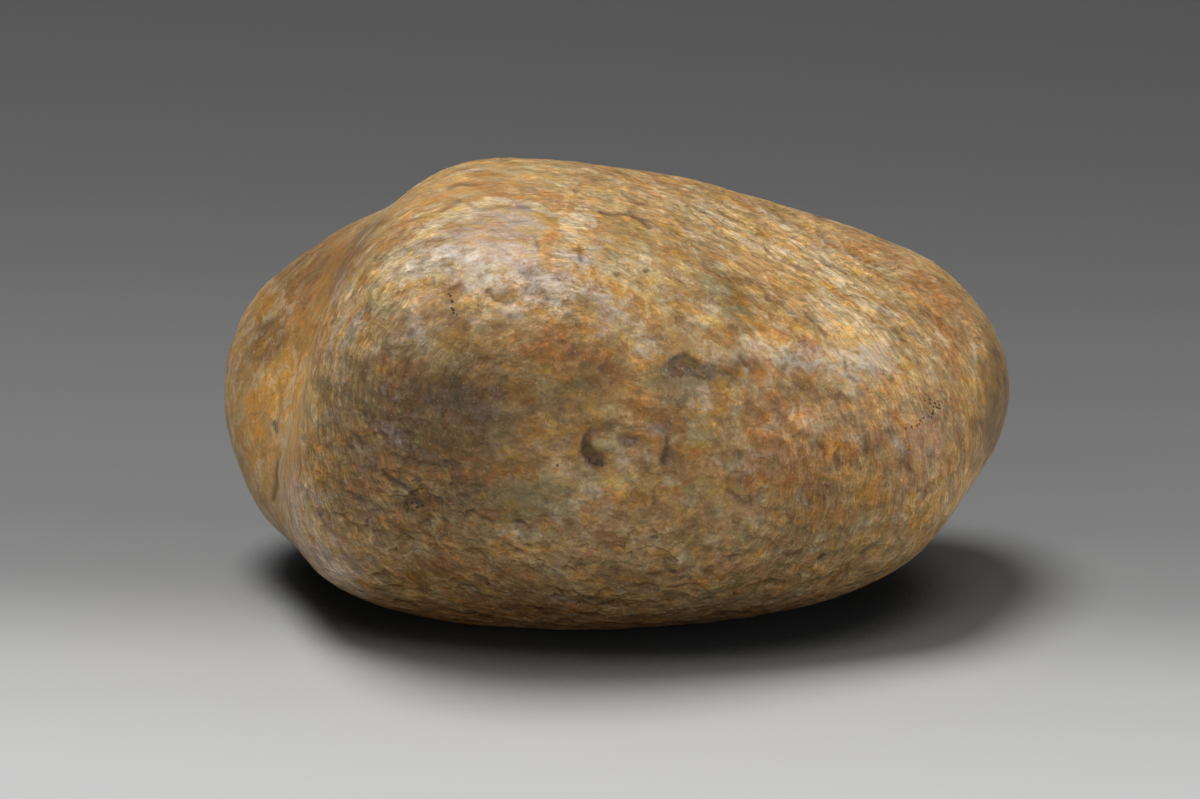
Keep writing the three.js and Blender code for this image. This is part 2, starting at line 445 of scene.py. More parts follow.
CROWN_LINE = [(399, 226), (420, 211), (449, 199), (478, 191), (520, 193), (560, 200)]
CREAM_LINE = [(412, 250), (432, 228), (455, 211), (490, 202), (530, 204), (556, 206)]
VEIN = [(549, 240), (550, 262), (553, 280)]
CREASE = [(360, 246), (345, 268), (334, 296), (322, 330), (312, 365)]
CREASE_SHADE = [(378, 222), (356, 250), (338, 282), (328, 310)]
END_STREAK = [(958, 350), (952, 385), (949, 412)]
END_RIM = [(984, 335), (984, 390), (975, 440), (968, 475)]
PATCHES = {
    # The amber at the foot warms the painted shade there.
    "amber": [Foot(0.8, 7)] + lines(
        (1.4, [(546, 204), (548, 245)], 0.9, 0.3),
        (0.9, [(336, 246), (318, 290), (305, 335), (296, 380)], 1),
        (0.8, [(578, 432), (577, 455), (583, 470)], 0.9), (0.8, END_RIM, 0.7),
        (1.5, [(732, 282), (741, 298), (743, 316)], 0.9),
        (1.5, [(751, 318), (762, 332), (776, 343)], 0.9),
    ) + spots(
        (0.9, 562, 215, 2.4, 1.4), (0.7, 586, 218, 2.4, 1.4), (0.9, 614, 216, 2.4, 0.8, 10),
        (0.7, 398, 292, 2, 1.6), (0.8, 775, 312, 5.4, 3.4, 45, 0.7), (1.5, 503, 296, 2.6, 1, 15),
        (1, 262, 440, 13, 3, 97), (1.4, 282, 370, 9, 2.2, 98), (0.8, 300, 300, 5, 3, 120),
        (0.6, 900, 456, 4, 2.6), (-0.6, 578, 248, 3.6, 2), (0.7, 262, 302, 3, 1, 110),
        (0.7, 654, 456, 2, 1, 95), (0.7, 552, 538, 2.4, 0.9), (0.6, 600, 272, 0.9, 0.8),
        (0.5, 930, 500, 6, 1.2, 120), (0.7, 880, 465, 13, 7, -8, 0.8), (0.6, 740, 418, 5, 2.4, 10),
        (0.5, 312, 450, 9, 2.4, 95, 0.8), (0.5, 440, 190, 9, 2.4, -25, 0.8),
        (0.6, 604, 268, 1.2, 0.8, 30), (1.5, 803, 376, 2.6, 1.6, 110), (0.5, 625, 288, 1.6, 1.2),
    ),
    "cream": lines(
        (1.3, CREAM_LINE, 1.1), (1, [(735, 286), (744, 294)], 0.4),
        # The thin cream line along the upper left outline at (249, 302) is a painted highlight.
        (1, [(249, 302), (262, 290), (275, 280)], 0.35), (1, [(819, 288), (831, 300)], 0.4),
        (1, [(893, 260), (906, 271)], 0.4), (0.9, [(954, 303), (967, 326), (975, 350)], 0.4),
    ) + spots(
        (1.3, 577, 225, 3, 2, -20, 0.2), (0.9, 470, 278, 7, 1.9, 6), (0.8, 400, 270, 3.6, 3, -30),
        (0.9, 565, 296, 2.2, 1.4), (0.6, 600, 262, 2.6, 2), (0.7, 865, 330, 7.5, 4.2, 40, 0.8),
        (0.8, 785, 353, 5.5, 1.6, 8), (0.7, 715, 312, 2.2, 2), (0.9, 811, 425, 1.8, 1),
        (0.7, 590, 490, 3.4, 2.2), (0.6, 518, 541, 3, 1.2), (0.6, 628, 325, 3, 2, 60),
        (0.5, 770, 238, 13, 2.6, 20, 0.9), (0.5, 430, 345, 5.5, 0.9, 12), (0.6, 548, 386, 1.6, 1.3, 20),
        (0.8, 850, 378, 2.2, 0.8, 60), (1.4, 608, 443, 1.4, 1, -20), (0.6, 650, 455, 1, 1.6),
        (0.5, 700, 395, 3, 2.2), (-0.7, 600, 372, 8, 4.5, 0, 0.7),
    ),
    "olive": spots(
        (1, 722, 290, 4, 2.2, 60), (1, 530, 500, 5.6, 2.6, -10), (0.8, 700, 498, 4, 1.6),
        (1, 678, 388, 2.8, 1.9, -20), (0.7, 640, 250, 4.4, 2.4), (0.9, 611, 447, 1.5, 1.1),
        (0.7, 440, 365, 6, 1.4, 12), (0.7, 700, 440, 3, 2.6), (0.7, 745, 470, 3, 2),
        (0.5, 860, 545, 6, 2.4, -25), (-0.6, 870, 450, 12, 6, 0, 0.8), (0.6, 615, 480, 4, 1),
        (0.6, 745, 545, 3.4, 1.2, -15), (0.2, 270, 320, 3.5, 1.4, 100), (0.6, 996, 415, 2.6, 0.8, 100),
        (0.7, 376, 300, 3, 1.2, 95),
    ),
    # The rust at the foot warms the painted shade there.
    "rust": [Foot(1.4, 8)] + lines(
        (1.3, CROWN_LINE, 0.55, 0.8), (1.5, VEIN, 0.6), (0.7, CREASE, 0.5),
        (0.6, [(830, 235), (900, 265), (950, 305)], 1.2, 0.9), (1.4, END_STREAK, 0.6),
        (0.8, [(292, 455), (293, 490)], 0.9),
    ) + spots(
        (0.9, 555, 345, 4.5, 3, 20), (0.8, 600, 372, 4, 2.6, 20), (0.7, 370, 478, 3.6, 2.4, 30),
        (0.7, 470, 475, 2.6, 1.2), (0.7, 395, 520, 4, 1.4, 20), (0.6, 470, 575, 9, 1.6),
        (0.6, 682, 472, 2.4, 2, 0, 0.8), (0.6, 540, 607, 12, 1.4), (0.4, 765, 425, 4, 2.4, -20),
        (0.5, 690, 480, 4, 1.4), (0.8, 780, 400, 5, 8, 10, 0.7), (0.8, 880, 450, 11, 6, -5, 0.8),
        (0.6, 660, 445, 4, 4, 0, 0.8), (0.5, 620, 505, 8, 3, 0, 0.8), (0.9, 315, 290, 9, 3.6, 122, 0.7),
        (1, 762, 470, 3, 2.5, 0, 0.8), (0.6, 940, 305, 5, 3, 40, 0.8), (0.8, 803, 360, 2.6, 2.6),
        (0.5, 790, 458, 4, 3), (0.6, 598, 546, 3, 2.4), (0.5, 958, 322, 2.6, 2),
        (0.4, 880, 250, 4, 2, 25), (0.5, 725, 268, 3.6, 2, 20), (0.5, 680, 420, 2.6, 2),
        (-0.6, 640, 495, 3, 2.4), (-0.7, 802, 522, 3.6, 2.6), (-0.4, 858, 496, 3.6, 2.4),
        (-0.6, 450, 410, 9, 2.8, 5), (-0.4, 440, 205, 5, 1.2, -25), (-0.5, 600, 310, 3, 5, 0, 0.8),
        (-0.5, 425, 408, 5, 3, 0, 0.8), (-0.5, 725, 455, 4, 5), (0.6, 640, 405, 4.5, 1.6),
        (0.5, 700, 525, 5, 2, -15), (0.5, 790, 540, 4, 1.8, -30), (0.4, 450, 470, 9, 4, 15),
    ),
    # The umber along the pit wall and slot, and in the pits at (594, 459), (632, 440) and (538, 294), is
    # painted shade; CREASE_SHADE is painted shade in the crease.
    "umber": lines(
        (0.9, CREASE_SHADE, 0.9), (0.7, [(600, 430), (590, 436), (588, 448)], 0.6),
        (0.6, [(668, 443), (664, 463)], 0.5), (0.7, [(580, 238), (582, 262)], 0.35),
        (0.4, [(604, 211), (628, 214), (648, 224)], 0.4),
        (0.9, [(768, 295), (782, 308), (796, 326)], 0.5),
        (0.6, [(1001, 360), (1000, 420), (988, 465)], 0.8),
    ) + spots(
        (0.7, 425, 405, 9, 5, 12, 0.8), (0.9, 430, 449, 4.6, 2.6), (1.4, 538, 294, 2.2, 1, 10),
        (0.6, 590, 350, 4, 2, 20), (0.7, 300, 280, 5.5, 2.2, 120), (0.8, 272, 330, 2.6, 1.6, 100, 0.8),
        (0.8, 594, 459, 1.6, 1.3), (0.8, 632, 440, 1.3, 1.1), (0.5, 640, 570, 9, 2.4),
        (0.6, 850, 455, 4, 1.4, -25), (1, 748, 364, 1.8, 1, 45), (0.9, 806, 386, 2.2, 1.2, 120),
        (1, 843, 397, 2.4, 0.8),
    ),
    "lilac": lines(
        (0.9, [(300, 500), (312, 545), (345, 592)], 3.2, 0.8),
        (0.45, [(352, 280), (340, 320), (336, 360), (332, 420)], 1.6, 0.9),
    ) + spots(
        (1, 482, 244, 5.4, 4.2, -8, 0.25), (1.1, 513, 244, 3.8, 5.2, 0, 0.15),
        (0.6, 560, 290, 4, 1.8, 15), (0.5, 455, 262, 3, 1.8, -30), (0.8, 568, 260, 1.7, 1.4),
        (0.5, 380, 425, 4.6, 2.8, 25, 0.9), (0.4, 397, 495, 1.9, 1.1, 30, 0.9),
        (0.55, 858, 368, 4.6, 3.8, 70, 0.9), (0.5, 842, 422, 2.4, 1.2, 0, 0.9), (0.6, 575, 320, 1.6, 1),
        (0.5, 360, 332, 2.4, 3.4, 0, 0.8), (0.4, 520, 308, 3.4, 1.6, 0, 0.8), (0.5, 590, 400, 1.4, 1),
        (0.6, 571, 395, 1.2, 0.8), (0.6, 612, 430, 1.8, 0.6, -5), (0.6, 665, 430, 2.2, 1, -15),
        (0.7, 578, 248, 3.6, 2.2), (0.6, 535, 282, 4.4, 2.4), (0.6, 604, 320, 2.6, 4),
        (0.6, 470, 408, 8, 2.6, 5), (0.6, 330, 565, 4, 3, 45), (-0.8, 820, 480, 20, 9, -8, 0.7),
        (-0.6, 600, 380, 9, 5, 0, 0.7),
    ),
    "slate": spots(
        (0.35, 1001, 400, 10, 1.8, 88, 0.3), (0.7, 575, 320, 0.9, 0.7), (0.6, 362, 415, 1.6, 1, 20),
        (0.9, 273, 428, 0.9, 0.5, -50),
    ),
    "gold": lines(
        (1.5, [(318, 305), (300, 345), (280, 375), (262, 402), (250, 440)], 1.8, 0.7),
        (1.4, [(334, 256), (324, 290), (318, 320), (312, 345)], 0.5),
        (0.9, [(232, 390), (236, 440)], 0.5), (1.5, [(275, 460), (272, 500), (284, 532)], 0.35),
        (1.2, [(738, 286), (747, 312), (762, 332), (778, 343)], 0.8),
    ) + spots(
        (1, 264, 455, 4.5, 2, 97), (1.2, 260, 304, 2.4, 1.2, 110), (1.1, 300, 425, 5, 1.3, 98),
        (0.8, 300, 272, 4, 1.2, 120), (1, 612, 286, 1.6, 0.9), (1, 503, 297, 2, 0.8, 15),
        (0.9, 805, 382, 2.6, 1.6, 110), (0.7, 745, 372, 2.6, 1.4, 30), (0.8, 905, 458, 4, 2.4),
    ),
}
PATCH_LIMITS = (-1, 1.5)

# The minerals that also lie in broad zones on the side that the photograph doesn't show

ZONED_MINERALS = ("amber", "cream", "olive", "rust", "umber", "lilac")
ZONE_SIZE_MM = 15
ZONE_SHARE = 0.55

# The dark grey inclusion of the photographed face, and the olive grey stone round it

INCLUSION = lines(
    (0.6, [(716, 371), (726, 373)], 0.4),
) + spots(
    (1, 681, 367, 2.5, 1.6, -10, 0.3), (0.9, 689, 375, 2, 1.4, 45, 0.3),
    (0.68, 705, 371, 2, 1.4, 8, 0.35), (0.38, 672, 385, 3.4, 2.3, 35, 0.6),
)

# Painted light and shade: how much lighter or darker than its minerals the stone is, as a share; darker at
# the foot

FOOT_SHADE_HEIGHT_MM = 16.5
PAINTED_LIGHT_AND_SHADE = [Foot(-0.68, FOOT_SHADE_HEIGHT_MM)] + lines(
    (-0.18, [(738, 284), (745, 312), (758, 330)], 1.4),
) + spots(
    (-0.34, 300, 285, 10, 4.5, 122), (-0.16, 262, 350, 6, 3, 105), (-0.14, 370, 255, 5, 3, 125),
    (-0.14, 410, 270, 3, 3), (-0.16, 480, 400, 4.5, 7), (-0.08, 830, 500, 5, 3, -10),
    (-0.14, 400, 392, 3, 3), (-0.18, 452, 400, 5, 2.6), (-0.14, 322, 372, 2.5, 3.5),
    (-0.22, 432, 256, 4, 3), (0.1, 340, 300, 4, 2.4, 120), (0.2, 722, 333, 3, 3),
    (0.1, 766, 372, 2.6, 2.4), (0.18, 520, 345, 3, 2.2), (0.1, 645, 372, 2.4, 2.4),
    (-0.12, 682, 293, 3, 2.4), (-0.14, 360, 395, 3, 2.6), (0.15, 960, 372, 3, 2.2, 90),
    (0.1, 782, 262, 7, 3, 20), (-0.17, 280, 478, 3.4, 2.4, 95), (-0.1, 512, 506, 4, 3),
    (0.14, 580, 535, 5, 3), (0.1, 580, 436, 3, 3), (-0.12, 480, 572, 3, 2.4), (-0.15, 884, 422, 3, 2.4),
    (-0.12, 920, 445, 2.6, 2.4), (0.1, 958, 478, 3, 2, 115), (-0.2, 721, 292, 3.4, 2, 60),
    (-0.18, 806, 388, 3.4, 2.6), (-0.32, 745, 371, 3, 2, 30), (0.14, 264, 392, 5, 2, 97),
    (0.1, 264, 455, 5, 2, 97), (-0.18, 243, 358, 4, 3, 95), (0.12, 430, 195, 6, 2.4, -25),
    (0.12, 645, 268, 3, 3), (0.1, 800, 222, 9, 2, 18), (-0.14, 520, 595, 8, 2.4), (0.15, 402, 597, 3, 2),
    (0.12, 440, 420, 3, 2.4), (-0.14, 845, 405, 3, 3), (0.1, 740, 502, 5, 2.5),
    (0.12, 960, 492, 3, 2, 125), (0.12, 282, 520, 3, 2.4), (-0.1, 680, 255, 3, 7),
    (-0.12, 720, 372, 2.4, 3), (-0.14, 580, 397, 5, 2.4), (-0.12, 520, 520, 3, 3),
    (-0.12, 400, 558, 9, 3), (-0.14, 722, 470, 2.5, 3), (-0.12, 820, 497, 5, 2.2),
    (-0.14, 730, 610, 8, 3), (0.12, 470, 612, 10, 2.4), (-0.12, 632, 440, 1.6, 1.4),
    (0.08, 672, 388, 3, 2, 35), (0.2, 500, 297, 5, 2.4), (0.12, 562, 258, 3, 4),
    (0.12, 620, 197, 7, 2.4, 10), (0.12, 765, 356, 3, 4), (0.12, 880, 395, 3, 3),
    (0.12, 820, 472, 5, 2.2), (0.14, 320, 308, 3, 3), (0.12, 362, 520, 3, 3), (0.32, 815, 432, 5, 3.4),
    (0.14, 870, 465, 5, 3.4), (0.2, 282, 312, 2.4, 3), (0.12, 630, 500, 8, 4), (0.12, 580, 350, 4, 3),
    (-0.14, 740, 300, 4, 4), (-0.1, 440, 520, 9, 4), (0.4, 350, 592, 6, 3.4, 35),
    (-0.08, 430, 440, 11, 8), (-0.14, 440, 460, 15, 12, 10), (-0.07, 450, 410, 15, 5),
    (-0.09, 800, 520, 18, 6, -12), (0.08, 480, 264, 10, 3, -6), (0.12, 375, 470, 5, 6),
    (-0.15, 560, 390, 5, 4), (-0.14, 810, 560, 14, 5, -20), (-0.28, 1002, 390, 12, 2.2, 88, 0.3),
    (0.1, 240, 450, 10, 2, 80), (0.34, 314, 545, 8, 3, 55, 0.8), (0.22, 306, 440, 10, 4, 95, 0.7),
    (0.25, 960, 500, 6, 2, 125, 0.8), (0.04, 600, 250, 7, 5), (0.22, 520, 318, 5, 4),
    (0.22, 642, 400, 2.6, 9), (0.28, 842, 318, 3.4, 5), (0.14, 715, 460, 4, 5), (0.04, 590, 215, 7, 3),
    (0.12, 520, 540, 9, 3), (0.1, 470, 182, 12, 3, -12), (0.2, 590, 470, 7, 4.5), (0.12, 600, 395, 4, 3),
    (0.16, 640, 350, 1.8, 3), (0.12, 870, 380, 4, 6), (0.08, 770, 240, 12, 3, 20),
)

# Where the stone is whitened: partly pale fine fractures, partly painted sheen where highlights fall

FROST_AND_SHEEN = lines(
    (0.8, [(412, 318), (417, 330), (424, 342), (420, 350)], 0.8, 0.9),
    (1.2, [(474, 288), (505, 283), (530, 281), (548, 280), (566, 288)], 0.8, 0.9),
    (0.7, [(480, 296), (500, 308), (520, 313), (545, 312)], 0.6, 0.9),
) + spots(
    (0.9, 500, 262, 5, 2.2, -8), (0.7, 585, 280, 3.4, 2.2, 30), (0.5, 645, 345, 2, 2),
    (0.8, 786, 352, 5, 1.4, 12), (0.7, 850, 362, 3, 2.2), (0.5, 907, 445, 1.4, 0.8),
    (0.6, 632, 440, 0.7, 0.5), (0.5, 760, 462, 3, 1.4), (0.6, 570, 298, 2, 1.4),
)

# Where the stone is marbled in soft-edged veins and not streaked

MARBLING = spots(
    (1, 765, 365, 12.5, 8, 25), (1, 650, 290, 9, 7, 20), (0.8, 470, 300, 9, 6, 15),
    (0.8, 264, 385, 21, 6, 97, 0.3),
)

# Strings of black specks

SOOT_HALF_WIDTH_MM = 0.42
SOOT_SOFTNESS = 0.8
SOOT = [
    [(449, 296), (452, 302), (454, 308), (453, 313)], [(474, 313), (476, 308), (479, 303)],
    [(898, 432), (914, 426), (928, 418), (934, 410), (945, 402)], [(926, 396), (934, 402), (931, 416)],
    [(590, 465), (603, 468)], [(552, 460), (556, 466)], [(404, 505), (424, 508)],
]


def patches_of(skin, random):
    """For each mineral, how much more of it than usual lies at each place."""
    patches = {name: added(places, skin) for name, places in PATCHES.items()}
    unseen = 1 - skin.seen
    for name in ZONED_MINERALS:
        patches[name] += ZONE_SHARE * (unseen * swell(skin.points, ZONE_SIZE_MM, random))
    return {name: np.clip(patch, *PATCH_LIMITS) for name, patch in patches.items()}


def soot_of(skin):
    """Where the strings of black specks lie, from 0 to 1."""
    strings = [Line(1, path, SOOT_HALF_WIDTH_MM, SOOT_SOFTNESS) for path in SOOT]
    return np.clip(added(strings, skin), 0, 1)


def stone_skin(solid):
    """The stone's visible mesh, with its relief carved and its patches stored as attributes."""
    random = np.random.default_rng(SEED)
    skin = Skin(solid)
    pits = added(PITS, skin)
    cracks = cracks_of(skin)
    lumps = added(LUMPS, skin)
    soot = soot_of(skin)
    inclusion = strongest(INCLUSION, skin)
    skin.wobble(random)
    rough = roughness_of(skin)
    scoops, tint = carve_scoops(skin, rough, random)
    broad = swell(skin.points, BROAD_SWELL_MM, random)
    fine = swell(skin.points, FINE_SWELL_MM, random)
    depth = scoops + pits - lumps + CRACK_DEPTH_MM * cracks
    depth += BROAD_SWELL_HEIGHT_MM * (1 + broad) + FINE_SWELL_HEIGHT_MM * (1 + fine) * rough
    depth *= smooth_step(0, FULL_RELIEF_HEIGHT_MM, skin.points[:, 2])
    points = (skin.points - skin.normals * depth[:, None]) * MM
    low, high = (np.array(corner) for corner in CAD_BOX)
    points = np.clip(points, low, high)
    mesh = bpy.data.meshes.new("stone_skin")
    mesh.from_pydata(points.tolist(), [], skin.triangles.tolist())
    mesh.shade_smooth()
    values = {
        **patches_of(skin, random),
        "tint": tint,
        "hollow": (scoops - blur(scoops, skin.edges, HOLLOW_ROUNDING)) / HOLLOW_DEPTH_MM,
        "rough": rough,
        "pit": smooth_step(*PIT_SHADE_MM, pits),
        "crack": cracks,
        "shade": added(PAINTED_LIGHT_AND_SHADE, skin),
        "frost_and_sheen": np.clip(added(FROST_AND_SHEEN, skin), 0, 1),
        "soot": soot,
        "marbling": strongest(MARBLING, skin),
        "inclusion": inclusion,
    }
    for name, value in values.items():
        layer = mesh.attributes.new(name, "FLOAT", "POINT")
        layer.data.foreach_set("value", value.astype(np.float32))
    return mesh


# Materials

TONES = {
    "brown": 0xA78050,
    "ochre": 0xC49B63,
    "tan": 0xD9B880,
    "amber": 0xD29A4B,
    "cream": 0xE4CDA4,
    "olive": 0xAA9A6B,
    "rust": 0xB87C46,
    "umber": 0x8A6846,
    "honey": 0x9A6B38,
    "gold": 0xC69246,
    "lilac": 0xC4AF9B,
    "slate": 0x6C5E4D,
    "pit": 0x4E3B2B,
    "soot": 0x33281F,
    "frost_and_sheen": 0xF2E8DC,
}

# Each mineral's share by chance, how far its patches raise it, its grain in mm, place in noise and cover

MINERAL_LOOKS = {
    "amber": (0.62, 0.22, 2.8, 11.0, 0.80),
    "cream": (0.60, 0.22, 2.4, 23.0, 0.80),
    "olive": (0.62, 0.23, 3.0, 37.0, 0.75),
    "rust": (0.63, 0.24, 2.6, 41.0, 0.75),
    "umber": (0.63, 0.23, 2.6, 59.0, 0.75),
    "lilac": (0.64, 0.26, 3.0, 67.0, 0.80),
    "slate": (0.76, 0.45, 1.4, 71.0, 0.88),
    "gold": (0.78, 0.32, 3.2, 131.0, 0.80),
}
MINERAL_DETAIL = 6
MINERAL_ROUGHNESS = 0.68
PATCH_SOFTNESS = 0.10

# Noises: the largest lumps in mm, the detail, the roughness, and the place in the noise

GRAINS = {
    "ground": (4.5, 5, 0.65, 0.0),
    "swirl": (2.8, 5, 0.6, 121.0),
    "ragged": (0.9, 4, 0.7, 73.0),
    "golden": (3.2, 7, 0.72, 31.0),
    "fleck": (0.6, 4, 0.75, 5.0),
    "thread": (2.6, 4, 0.6, 83.0),
    "threaded": (7, 2, 0.55, 89.0),
    "pepper": (0.42, 2, 0.6, 61.0),
    "cloud": (1.1, 4, 0.7, 97.0),
    "grit": (0.45, 4, 0.65, 17.0),
    "lumps": (1.6, 3, 0.6, 29.0),
    "polish": (3.0, 4, 0.55, 53.0),
}

# Soft steps: the values between which each one runs, and what it gives at the first and at the second

STEPS = {
    "to ochre": (0.32, 0.52, 0.0, 1.0),
    "to tan": (0.50, 0.72, 0.0, 1.0),
    "pale swirl": (0.53, 0.60, 0.0, 0.55),
    "deep swirl": (0.46, 0.39, 0.0, 0.60),
    "ragged": (0.3, 0.6, 0.7, 1.3),
    "scoop light": (-1.0, 1.0, 0.90, 1.10),
    "fleck light": (0.3, 0.7, 0.79, 1.21),
    "hollow light": (-0.8, 1.2, 1.05, 0.86),
    "facet strength": (0.35, 0.95, 0.05, 1.0),
    "facet edge": (0.0, 0.10, 1.0, 0.0),
    "facet light": (0.0, 1.0, 0.92, 1.09),
    "facet rust": (0.62, 1.0, 0.0, 0.16),
    "facet olive": (0.38, 0.0, 0.0, 0.22),
    "streaky outwards": (0.0, 1.0, 0.3, 1.3),
    "streaky in marbling": (0.0, 1.0, 1.0, 0.25),
    "warm stroke": (0.54, 0.74, 0.0, 0.42),
    "cool stroke": (0.46, 0.26, 0.0, 0.42),
    "contrast": (0.1, 0.6, 0.35, 1.0),
    "undercut": (0.7, 1.2, 0.14, 0.60),
    "threaded": (0.45, 0.6, 0.0, 1.0),
    "thread": (0.0, 0.016, 0.55, 0.0),
    "dark pepper": (0.65, 0.74, 0.0, 0.45),
    "pale pepper": (0.37, 0.28, 0.0, 0.45),
    "speck size": (0.88, 1.3, 0.0, 0.42),
    "speck": (0.0, 0.06, 0.0, 0.85),
    "pit": (0.0, 1.0, 0.0, 0.7),
    "veil": (0.40, 0.65, 0.0, 0.55),
    "glint size": (0.84, 1.2, 0.0, 0.26),
    "glint": (0.0, 0.06, 0.0, 0.75),
    "polish": (0.3, 0.7, 0.30, 0.50),
}

# The most of the stone's colour that the inclusion and the cracks' painted shade cover

MOST_SLATE = 0.96
CRACK_COVER = 0.85

# The colour's grain: its stretch along x, y and z, and how far noise bends it, in mm

GRAIN_STRETCH = (0.75, 1.5, 0.95)
FLOW_STRETCH = (0.3, 1.0, 0.3)
BEND_SIZE_MM = 4
BEND_DETAIL = 2
GRAIN_BEND_MM = 2.2
FLOW_BEND_MM = 2.6
SWIRL_BEND_MM = 6.0

# How strongly red, green and blue follow a change in light: darker wax is warmer, lighter wax paler

LIGHT_POWERS = (0.96, 1.0, 1.06)

# How far red, green and blue swing between golden and greyer stone, their middle levels and limits

GOLD_SWINGS = (1.2, 0.0, -3.6)
GOLD_LEVELS = (1.0, 1.0, 1.02)
GOLD_LIMITS = ((0.95, 1.30), (1.0, 1.0), (0.55, 1.14))

# Worn hollows like scales: their sizes in mm and places in the noise, then their shape

FACETS = ((3.4, 7.0), (1.9, 13.0), (1.0, 47.0))
FACET_STRETCH = (0.58, 1.3, 0.95)
FACET_WANDER = 1.1
FACET_TILT = 1.4
FACET_LEAN = 0.045
FACET_DEPTH = 0.24
FACET_UNDERCUT = 0.4

# Fine strokes round the stone: size across in mm, where in the noise, and how far they lighten or darken

STROKES = ((0.9, 101.0, 0.13), (0.35, 107.0, 0.18))
STROKE_LEVELS = (0.3, 0.7)
STROKE_DETAIL = 3
STROKE_ROUGHNESS = 0.6
STROKE_HUE_SIZE = 1.6
STROKE_HUE_SHIFT = 3
FLOW_CENTRE_MM = (0.0, 0.0, 28.0)
FLOW_RADIUS_MM = 26.0
FLOW_TWIST = 0.3
STILL_RADIUS_MM = (12.0, 26.0)

# Black specks and painted highlight glints: cell size in mm, place in the noise, and how far a named place
# adds to them

SPECKS = (0.5, 3.0, 1.0)
PAINTED_GLINTS = (0.55, 9.0, 0.35)

# The finish

GRIT_HEIGHT_MM = 0.07
LUMP_HEIGHT_MM = 0.12
SPECULAR_LEVEL = 0.25
WAX_SHARE = 0.16
FROST_WAX = 0.5
WAX_ROUGHNESS = 0.12
GLOW_THROUGH = 0.12
GLOW_THROUGH_MM = 0.9
GLOW_THROUGH_COLOURS = (1.2, 0.7, 0.35)


def linear(code):
    """An sRGB colour, such as 0xc09f70, as the linear colour that shaders take."""
    channels = [(code >> shift & 255) / 255 for shift in (16, 8, 0)]
    return [c / 12.92 if c <= 0.04045 else ((c + 0.055) / 1.055) ** 2.4 for c in channels] + [1]


class Nodes:
    """Short ways to add shader nodes to a node tree."""

    def __init__(self, tree):
        self.tree = tree

    def add(self, kind, *values, **settings):
        """A node with those settings, whose first sockets take the values."""
        node = self.tree.nodes.new("ShaderNode" + kind)
        for name, setting in settings.items():
            setattr(node, name, setting)
        for socket, value in zip(node.inputs, values):
            self.put(socket, value)
        return node

    def put(self, socket, value):
        """Links the value, or sets it if it is a plain number, vector or colour."""
        if isinstance(value, bpy.types.NodeSocket):
            self.tree.links.new(value, socket)
        else:
            socket.default_value = value

    def math(self, operation, first, second=0.0, third=0.0):
        return self.add("Math", first, second, third, operation=operation).outputs[0]

    def times(self, product, *factors):
        for factor in factors:
            product = self.math("MULTIPLY", product, factor)
        return product

    def vector(self, operation, first, second):
        return self.add("VectorMath", first, second, operation=operation).outputs[0]

    def dot(self, first, second):
        return self.add("VectorMath", first, second, operation="DOT_PRODUCT").outputs["Value"]

    def moved(self, place, way, amount):
        """The place moved along the way, that many times."""
        return self.vector("ADD", place, self.vector("MULTIPLY", way, (amount, amount, amount)))

    def mix(self, share, first, second, blend="MIX"):
        node = self.add("Mix", share, data_type="RGBA", blend_type=blend)
        self.put(node.inputs[6], first)
        self.put(node.inputs[7], second)
        return node.outputs[2]

    def paint(self, colour, tone, share):
        """The colour under that share of a tone."""
        return self.mix(share, colour, linear(TONES[tone]))

    def ramp(self, value, low, high, to_low=0.0, to_high=1.0):
        """A soft step from to_low at low to to_high at high."""
        node = self.add("MapRange", value, low, high, to_low, to_high, interpolation_type="SMOOTHSTEP")
        return node.outputs[0]

    def step(self, name, value):
        return self.ramp(value, *STEPS[name])

    def noise(self, place, size, detail, roughness, shift):
        """Noise from 0 to 1 whose largest lumps are about that many millimetres."""
        node = self.add("TexNoise", self.vector("ADD", place, (shift, shift * 0.7, -shift * 0.4)))
        self.put(node.inputs["Scale"], 1 / size)
        self.put(node.inputs["Detail"], detail)
        self.put(node.inputs["Roughness"], roughness)
        return node.outputs["Fac"]

    def grain(self, name, place):
        return self.noise(place, *GRAINS[name])

    def wander(self, place, size):
        """A random way at each place, from -0.5 to 0.5 along each axis."""
        node = self.add("TexNoise", place)
        self.put(node.inputs["Scale"], 1 / size)
        self.put(node.inputs["Detail"], BEND_DETAIL)
        return self.vector("SUBTRACT", node.outputs["Color"], (0.5, 0.5, 0.5))

    def cells(self, place, size, shift=0.0, feature="F1"):
        """A Voronoi node whose cells are about that many millimetres."""
        moved = self.vector("ADD", place, (shift, -shift, shift * 0.5))
        node = self.add("TexVoronoi", moved, feature=feature)
        self.put(node.inputs["Scale"], 1 / size)
        return node

    def dots(self, name, place, amount, size, shift, gain):
        """Scattered dots, in cells of that size, more and larger ones where the amount is high."""
        cells = self.cells(place, size, shift)
        chance = self.math("MULTIPLY_ADD", amount, gain, cells.outputs["Color"])
        radius = self.step(name + " size", chance)
        return self.step(name, self.math("SUBTRACT", radius, cells.outputs["Distance"]))

    def value_of(self, name):
        """A number stored in the mesh."""
        return self.add("Attribute", attribute_name=name).outputs["Fac"]


